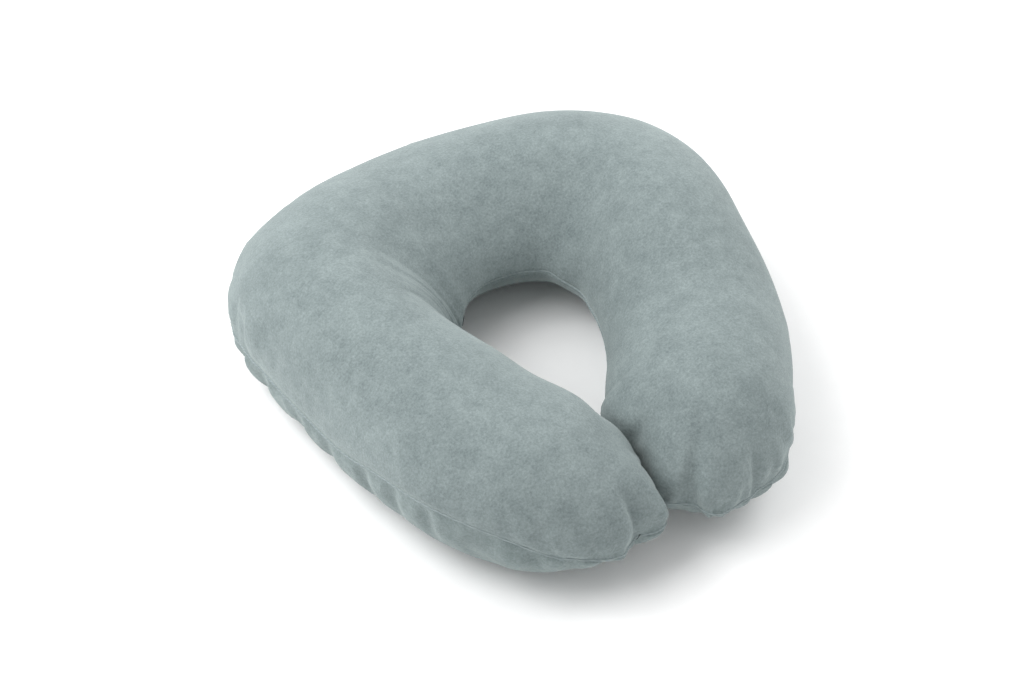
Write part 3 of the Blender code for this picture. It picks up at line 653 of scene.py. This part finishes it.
covers = {(panel, side): panel_piece(panel, side) for panel in PANELS for side in SIDES}
print("cover pieces:", [piece.name for piece in covers.values()])

# %% [markdown]
# ## Liner and foam
# Inside the cover lie a jersey bag and the foam core. Both follow the form of the cover a few
# millimetres below it. Each is cut at the middle of the back too.

# %% Layers under the cover
LINER_DEPTHS, FOAM_DEPTHS = (0.0045, 0.0051), (0.0054,)
EVERY_ROW, EVERY_COLUMN = 6, 5


def rings_below(side, depth):
    """Rings of points round one half of the stuffing, from the middle of the back to the tip."""
    over, under = (half_panel(panel, False, side, depth)[::EVERY_ROW, ::EVERY_COLUMN] for panel in PANELS)
    return np.concatenate([over, under[:, -2:0:-1]], 1) * (1.0 if side == "right" else -1.0, 1.0, 1.0)


def layer_piece(name, side, depths):
    """Closed body between two depths, or all that lies below one depth."""
    shells = [rings_below(side, depth) for depth in depths]
    rows, count = shells[0].shape[:2]
    table = np.arange(rows * count).reshape(rows, count)
    tables = [index * rows * count + table for index in range(len(shells))]
    faces = []
    for table in tables:
        near, far = table[:-1], table[1:]
        faces += np.stack([near, far, np.roll(far, -1, 1), np.roll(near, -1, 1)], -1).reshape(-1, 4).tolist()
    first, last = tables[0][0], tables[-1][0]
    if len(shells) == 1:
        faces.append(first.tolist())
    else:
        faces += np.stack([first, np.roll(first, -1), np.roll(last, -1), last], -1).tolist()
    mesh = bpy.data.meshes.new(f"{name}_{side}")
    mesh.from_pydata(np.concatenate(shells).reshape(-1, 3).tolist(), [], faces)
    body = bmesh.new()
    body.from_mesh(mesh)
    bmesh.ops.remove_doubles(body, verts=body.verts, dist=1e-6)
    bmesh.ops.recalc_face_normals(body, faces=body.faces)
    body.to_mesh(mesh)
    body.free()
    mesh.shade_smooth()
    made = bpy.data.objects.new(mesh.name, mesh)
    bpy.context.scene.collection.objects.link(made)
    return made


liners = {side: layer_piece("liner", side, LINER_DEPTHS) for side in SIDES}
foams = {side: layer_piece("foam", side, FOAM_DEPTHS) for side in SIDES}
print("layers:", [piece.name for piece in (*liners.values(), *foams.values())])

# %% [markdown]
# ## The seam line
# The panels are sewn inside out and turned, so no thread shows, only a fine raised line where
# the two edges press together. Each stitch pinches it a little. It is a thin tube along the
# panels' shared edge, from the end of the zip over the tip to the middle of the neck hole.

# %% Tubes along a path
SEAM_RADIUS, STITCH_LENGTH, STITCH_PINCH, SEAM_STEP = 0.00055, 0.0028, 0.12, 0.0008
TUBE_SIDES = 8


def even_path(points, step):
    """Points at an even step along a path."""
    length = np.concatenate([[0.0], np.cumsum(np.linalg.norm(np.diff(points, axis=0), axis=1))])
    at = np.linspace(0.0, length[-1], max(int(length[-1] / step), 2) + 1)
    return np.stack([np.interp(at, length, points[:, axis]) for axis in range(3)], -1), at


def tube_arrays(path, radius, sides, start=0):
    """Points and faces of a round tube with a radius at each point of its path."""
    forward = np.gradient(path, axis=0)
    forward /= np.linalg.norm(forward, axis=1, keepdims=True)
    level = np.cross(forward, (0.0, 0.0, 1.0))
    level /= np.maximum(np.linalg.norm(level, axis=1, keepdims=True), 1e-9)
    rise = np.cross(level, forward)
    turn = 2.0 * math.pi * np.arange(sides) / sides
    ring = np.cos(turn)[None, :, None] * level[:, None] + np.sin(turn)[None, :, None] * rise[:, None]
    points = path[:, None] + ring * np.broadcast_to(radius, len(path))[:, None, None]
    table = start + np.arange(len(path) * sides).reshape(len(path), sides)
    near, far = table[:-1], table[1:]
    faces = np.stack([near, np.roll(near, -1, 1), np.roll(far, -1, 1), far], -1).reshape(-1, 4).tolist()
    return points.reshape(-1, 3), faces + [table[0, ::-1].tolist(), table[-1].tolist()]


def tube_object(name, tubes):
    """One object made of round tubes, each a path and a radius."""
    points, faces = [], []
    for path, radius in tubes:
        more, rings = tube_arrays(path, radius, TUBE_SIDES, sum(len(part) for part in points))
        points.append(more)
        faces += rings
    mesh = bpy.data.meshes.new(name)
    mesh.from_pydata(np.concatenate(points).tolist(), [], faces)
    mesh.shade_smooth()
    made = bpy.data.objects.new(name, mesh)
    bpy.context.scene.collection.objects.link(made)
    return made


def seam_path(side):
    """The sewn edge of one half, from the zip's end over the tip to the middle of the neck hole."""
    half = top[SIDES[side]]
    half = half if side == "right" else half[::-1]
    first = int(np.argmax(sewn[middle:]))
    return np.concatenate([half[first:, 0], half[-1, 1:-1], half[::-1, -1]])


seams = {}
for side in SIDES:
    path, at = even_path(seam_path(side), SEAM_STEP)
    radius = SEAM_RADIUS * (1.0 + STITCH_PINCH * np.cos(2.0 * math.pi * at / STITCH_LENGTH))
    seams[side] = tube_object(f"seam_{side}", [(path, radius)])
    print("seam", side, "is", round(float(at[-1]), 3), "m long")

# %% [markdown]
# ## Stitching beside the zip
# The edges along the zip are turned under and sewn to its tapes, and there the thread does
# show: a row of short stitches runs along each edge. Every stitch is its own small tube with
# thin ends that dips into the pile.

# %% Rows of stitches
THREAD_RADIUS, ZIP_STITCH, ZIP_STITCH_GAP, EDGE_TO_STITCH = 0.00032, 0.0026, 0.0012, 0.0026
NEAR_EDGE, LINE_STEP, STITCH_POINTS = 12, 0.0002, 7


def stitch_line(panel):
    """Path of the stitches on a panel, at a set way in from its edge along the zip."""
    line = []
    for row in cloth_points[panel][~sewn, :NEAR_EDGE]:
        length = np.concatenate([[0.0], np.cumsum(np.linalg.norm(np.diff(row, axis=0), axis=1))])
        line.append([np.interp(EDGE_TO_STITCH, length, row[:, axis]) for axis in range(3)])
    return even_path(np.array(line), LINE_STEP)


def stitches(panel):
    """One tube a stitch."""
    line, at = stitch_line(panel)
    made = []
    for begin in np.arange(ZIP_STITCH_GAP, at[-1] - ZIP_STITCH, ZIP_STITCH + ZIP_STITCH_GAP):
        share = np.linspace(0.0, 1.0, STITCH_POINTS)
        path = np.stack([np.interp(begin + ZIP_STITCH * share, at, line[:, axis]) for axis in range(3)], -1)
        made.append((path, THREAD_RADIUS * (0.35 + 0.65 * np.sin(math.pi * share) ** 0.5)))
    return made


zip_stitches = tube_object("zip_stitches", stitches("upper") + stitches("lower"))
print("zip stitches:", len(zip_stitches.data.vertices) // (STITCH_POINTS * TUBE_SIDES))

# %% [markdown]
# ## Velour
# Short pile velour is a knitted polyester with its loops cut, so the eye meets the tips of very
# many fine fibres. It has no gloss, it looks paler where it is seen edge on, and it is blotchy
# where the pile has been stroked one way or another. The colour therefore mixes two shades by
# patches some 9 mm across and clouds of 30 mm, speckled by tufts of pile of 1.3 mm. A sheen gives
# the pale edge. The pattern is tied to the cloth's resting place, so it moves with it.

# %% Colours and a node helper
def linear(code):
    """Linear colour from an sRGB hex value."""
    parts = [int(code[index:index + 2], 16) / 255.0 for index in (1, 3, 5)]
    return [part / 12.92 if part <= 0.04045 else ((part + 0.055) / 1.055) ** 2.4 for part in parts] + [1.0]


def add(tree, kind, inputs=None, **settings):
    """Add a node, set its properties, and fill or link its inputs."""
    made = tree.nodes.new(kind)
    for name, value in settings.items():
        setattr(made, name, value)
    for name, value in (inputs or {}).items():
        if isinstance(value, bpy.types.NodeSocket):
            tree.links.new(value, made.inputs[name])
        else:
            made.inputs[name].default_value = value
    return made


def new_material(name):
    """Empty material with its node tree and its shader."""
    made = bpy.data.materials.new(name)
    made.use_nodes = True
    return made, made.node_tree, made.node_tree.nodes["Principled BSDF"]


MM = 0.001
print("velour shade:", [round(part, 3) for part in linear("#7a8586")[:3]])

# %% Velour material
NAP_PATCH, NAP_CLOUD, PILE_TUFT = 9.0 * MM, 30.0 * MM, 1.3 * MM


def velour(name, dark, light):
    """Cut pile knit: cloudy nap, fibre tips and a sheen."""
    made, tree, shader = new_material(name)
    cloth_at = add(tree, "ShaderNodeAttribute", attribute_name="cloth_place").outputs["Vector"]
    patch = add(tree, "ShaderNodeTexNoise", {"Vector": cloth_at, "Scale": 1.0 / NAP_PATCH, "Detail": 5.0,
                                             "Roughness": 0.62, "Distortion": 0.3})
    cloud = add(tree, "ShaderNodeTexNoise", {"Vector": cloth_at, "Scale": 1.0 / NAP_CLOUD, "Detail": 2.0})
    pile = add(tree, "ShaderNodeTexNoise", {"Vector": cloth_at, "Scale": 1.0 / PILE_TUFT, "Detail": 3.0,
                                            "Roughness": 0.75})
    both = add(tree, "ShaderNodeMix", {"Factor": 0.35, "A": patch.outputs["Fac"], "B": cloud.outputs["Fac"]})
    mixed = add(tree, "ShaderNodeMix", {"Factor": 0.55, "A": both.outputs["Result"],
                                        "B": pile.outputs["Fac"]})
    shade = add(tree, "ShaderNodeValToRGB", {"Fac": mixed.outputs["Result"]})
    shade.color_ramp.elements[0].position, shade.color_ramp.elements[1].position = 0.34, 0.66
    shade.color_ramp.elements[0].color, shade.color_ramp.elements[1].color = linear(dark), linear(light)
    tufts = add(tree, "ShaderNodeBump", {"Strength": 0.6, "Distance": 0.45 * MM,
                                         "Height": pile.outputs["Fac"]})
    stroked = add(tree, "ShaderNodeBump", {"Strength": 0.2, "Distance": 0.8 * MM,
                                           "Height": patch.outputs["Fac"], "Normal": tufts.outputs["Normal"]})
    tree.links.new(shade.outputs["Color"], shader.inputs["Base Color"])
    tree.links.new(stroked.outputs["Normal"], shader.inputs["Normal"])
    shader.inputs["Roughness"].default_value = 0.95
    shader.inputs["Specular IOR Level"].default_value = 0.15
    shader.inputs["Sheen Weight"].default_value = 0.36
    shader.inputs["Sheen Roughness"].default_value = 0.50
    shader.inputs["Sheen Tint"].default_value = linear("#dfe9e8")
    return made


velour_upper = velour("velour_upper_panel", "#626d6e", "#8a9595")
velour_lower = velour("velour_lower_panel", "#606c6c", "#879292")
for (panel, side), piece in covers.items():
    piece.data.materials.append(velour_upper if panel == "upper" else velour_lower)
print("velour on", len(covers), "pieces")

# %% [markdown]
# ## Thread, tape, nylon and enamel
# The thread and the zip are dyed to match the cloth. Thread and tape are polyester: the thread is
# twisted, and the tape is woven in a fine herringbone with a rib every 0.8 mm. The teeth are
# moulded nylon with a slight gloss. Slider, pull tab and stops are cast zinc, enamelled, so they
# are smooth and brighter at a highlight, with the faint unevenness of a dipped coat.

# %% Small materials
def woven(name, dark, light, rib, roughness):
    """Ribbed cloth or twisted thread: bands of two shades with a matching bump."""
    made, tree, shader = new_material(name)
    place = add(tree, "ShaderNodeTexCoord").outputs["Object"]
    band = add(tree, "ShaderNodeTexWave", {"Vector": place, "Scale": 1.0 / (20.0 * rib) * math.pi,
                                           "Distortion": 1.5, "Detail": 1.0},
               wave_type="BANDS", bands_direction="DIAGONAL")
    shade = add(tree, "ShaderNodeMix", {"Factor": band.outputs["Fac"], "A": linear(dark), "B": linear(light)},
                data_type="RGBA")
    ridge = add(tree, "ShaderNodeBump", {"Strength": 0.4, "Distance": 0.1 * MM,
                                         "Height": band.outputs["Fac"]})
    tree.links.new(shade.outputs["Result"], shader.inputs["Base Color"])
    tree.links.new(ridge.outputs["Normal"], shader.inputs["Normal"])
    shader.inputs["Roughness"].default_value = roughness
    return made


def coated(name, dark, light, roughness, coat):
    """Moulded or dipped surface: one shade with faint clouds and fine unevenness."""
    made, tree, shader = new_material(name)
    place = add(tree, "ShaderNodeTexCoord").outputs["Object"]
    cloud = add(tree, "ShaderNodeTexNoise", {"Vector": place, "Scale": 1.0 / (2.5 * MM), "Detail": 3.0})
    shade = add(tree, "ShaderNodeMix", {"Factor": cloud.outputs["Fac"], "A": linear(dark),
                                        "B": linear(light)}, data_type="RGBA")
    skin = add(tree, "ShaderNodeBump", {"Strength": 0.1, "Distance": 0.05 * MM,
                                        "Height": cloud.outputs["Fac"]})
    tree.links.new(shade.outputs["Result"], shader.inputs["Base Color"])
    tree.links.new(skin.outputs["Normal"], shader.inputs["Normal"])
    shader.inputs["Roughness"].default_value = roughness
    shader.inputs["Coat Weight"].default_value = coat
    return made


thread = woven("polyester_thread", "#7f8b8c", "#8f9a9b", 0.6 * MM, 0.8)
tape = woven("woven_zip_tape", "#6f7d7d", "#879595", 0.8 * MM, 0.85)
nylon = coated("moulded_nylon_teeth", "#6c7a7a", "#788686", 0.38, 0.0)
enamel = coated("enamelled_zinc", "#758383", "#808e8e", 0.32, 0.5)
knit = woven("white_jersey_knit", "#d4d4cf", "#efefea", 1.2 * MM, 0.9)
foam = coated("moulded_memory_foam", "#e2d6b0", "#efe6c8", 0.9, 0.0)
for piece in (*seams.values(), zip_stitches):
    piece.data.materials.append(thread)
for side in SIDES:
    liners[side].data.materials.append(knit)
    foams[side].data.materials.append(foam)
finishes = {"zip_tape": tape, "zip_teeth": nylon, "zip_top": enamel, "zip_bottom": enamel,
            "zip_slider": enamel, "zip_pull": enamel}
for name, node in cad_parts.items():
    for start, finish in finishes.items():
        if name.startswith(start):
            for place in node.material_slots:
                place.material = finish
print("finishes:", sorted(set(finishes)))

# %% [markdown]
# ## What moves with what
# For each arm a bend line of about 90 mm is laid across the corner. It ends before the middle of
# the back, where the two halves of a panel meet, but no piece is tied to it. The CAD shells that
# the cover, liner and foam pieces stand in for are hidden. These pieces and the seams take their
# placement into their points. The zip's stitches stay on the back.

# %% Joints
BEND_HALF = 0.046
BEND_HEADING = math.radians(45.0)
HINGE_OUT, HINGE_BACK = 0.1330, 0.1135
for side in SIDES:
    mirror = 1.0 if side == "right" else -1.0
    hinge = Vector((HINGE_OUT * mirror, HINGE_BACK, SEAM_HEIGHT))
    way = Vector((math.cos(BEND_HEADING) * mirror, -math.sin(BEND_HEADING), 0.0))
    start, end = (tuple(hinge + sign * BEND_HALF * way) for sign in (-1.0, 1.0))
    for panel in PANELS:
        piece = covers[panel, side]
        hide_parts(f"cover_{panel}_back", f"cover_{panel}_{side}_arm")
        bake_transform(piece)
    for layer, slot in (("liner", "liner_knit"), ("foam", "memory_foam")):
        piece = liners[side] if layer == "liner" else foams[side]
        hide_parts(f"{layer}_back", f"{layer}_{side}_arm")
        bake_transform(piece)
    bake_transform(seams[side])
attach(zip_stitches, "back")

# %% [markdown]
# ## Studio
# The pillow lies on a white floor between broad soft lights, two from the left and one from the
# right, with a white room around it that fills the shadows. The camera looks down on it from the
# front left, so that the neck hole, both tips and the outer seam of the left arm can be seen.

# %% Floor
FLOOR_HALF = 4.0
corners = FLOOR_HALF * np.array([(-1, -1, 0), (1, -1, 0), (1, 1, 0), (-1, 1, 0)], float)
floor = new_object("floor", corners, np.array([[0, 1, 2, 3]]))
paper, tree, shader = new_material("white_paper")
grain = add(tree, "ShaderNodeTexNoise", {"Scale": 400.0, "Detail": 2.0})
tone = add(tree, "ShaderNodeMix", {"Factor": grain.outputs["Fac"], "A": linear("#f6f6f6"),
                                   "B": linear("#fafafa")}, data_type="RGBA")
tree.links.new(tone.outputs["Result"], shader.inputs["Base Color"])
shader.inputs["Roughness"].default_value = 0.9
floor.data.materials.append(paper)
print("floor:", 2.0 * FLOOR_HALF, "m square")

# %% Light
scene = bpy.context.scene
scene.world = bpy.data.worlds.new("white_room")
scene.world.use_nodes = True
room = scene.world.node_tree.nodes["Background"]
room.inputs["Color"].default_value, room.inputs["Strength"].default_value = (1.0, 1.0, 1.0, 1.0), 0.755


def soft_light(name, at, size, power):
    """Square lamp that faces the pillow."""
    lamp = bpy.data.lights.new(name, "AREA")
    lamp.energy, lamp.size = power, size
    made = bpy.data.objects.new(name, lamp)
    made.location = at
    made.rotation_euler = (Vector((0.0, 0.0, 0.05)) - Vector(at)).to_track_quat("-Z", "Y").to_euler()
    scene.collection.objects.link(made)
    return made


LAMP_SIZE = 0.9
lamps = [soft_light("light_behind_left", (-0.70, 0.75, 1.00), LAMP_SIZE, 9.0),
         soft_light("light_over_left", (-0.78, 0.10, 1.10), LAMP_SIZE, 9.0),
         soft_light("light_right", (1.10, 0.10, 0.90), LAMP_SIZE, 9.4)]
print("lamps:", [lamp.name for lamp in lamps])

# %% Camera
AZIMUTH, ELEVATION, RANGE = math.radians(-27.99), math.radians(43.61), 1.3628
backward = Vector((math.sin(AZIMUTH) * math.cos(ELEVATION), -math.cos(AZIMUTH) * math.cos(ELEVATION),
                   math.sin(ELEVATION)))
rightward = Vector((math.cos(AZIMUTH), math.sin(AZIMUTH), 0.0))
upward = backward.cross(rightward)
AIM, AIM_LEFT, AIM_DOWN = Vector((0.0, 0.0091, 0.0450)), 0.0075, 0.0139
aim = AIM - AIM_LEFT * rightward - AIM_DOWN * upward
camera = bpy.data.objects.new("camera", bpy.data.cameras.new("camera"))
camera.data.lens, camera.data.sensor_width = 85.0, 36.0
turn = Matrix((rightward, upward, backward)).transposed().to_4x4()
camera.matrix_world = Matrix.Translation(aim + RANGE * backward) @ turn
scene.collection.objects.link(camera)
scene.camera = camera
scene.view_settings.view_transform = "Standard"
print("camera at", [round(part, 3) for part in camera.matrix_world.translation])
